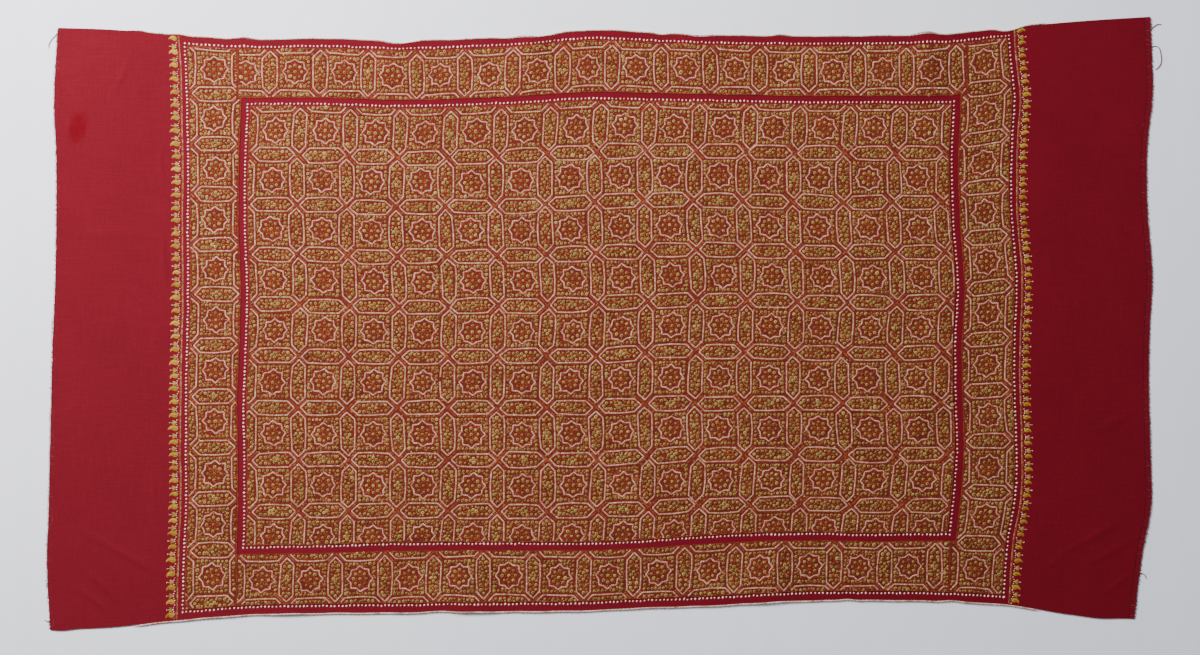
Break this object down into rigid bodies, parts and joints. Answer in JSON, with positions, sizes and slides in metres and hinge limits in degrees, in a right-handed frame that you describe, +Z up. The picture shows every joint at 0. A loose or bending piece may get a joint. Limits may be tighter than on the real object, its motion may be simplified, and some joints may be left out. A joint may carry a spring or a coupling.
{
  "type": "embroidered wool shawl",
  "caption": "Long rectangular wool shawl laid flat, with an all-over star-and-lattice needlework field, needlework borders, paisley end bands, cream edging and short frayed plain ends",
  "frame": {"origin": "the middle of the box, on the surface that the shawl lies on", "axes": "+X along the length of the shawl, +Y across it to its upper long edge, +Z up out of its right side"},
  "size_m": [2.0132, 1.116, 0.0051],
  "materials": {
    "ground_wool": "matt woven wool",
    "needlework": "dense silky chain stitch",
    "paisley_thread": "silky needlework",
    "edging_cord": "matt twisted cord",
    "frayed_wool": "fuzzy frayed yarn"
  },
  "bodies": {
    "root": {"ground_cloth": "ground_wool", "field_embroidery": "needlework", "border_top": "needlework", "border_bottom": "needlework", "border_left": "needlework", "border_right": "needlework", "trim_left": "paisley_thread", "trim_right": "paisley_thread", "edging_top": "edging_cord", "edging_bottom": "edging_cord", "fringe_left": "frayed_wool", "fringe_right": "frayed_wool"}
  },
  "joints": []
}
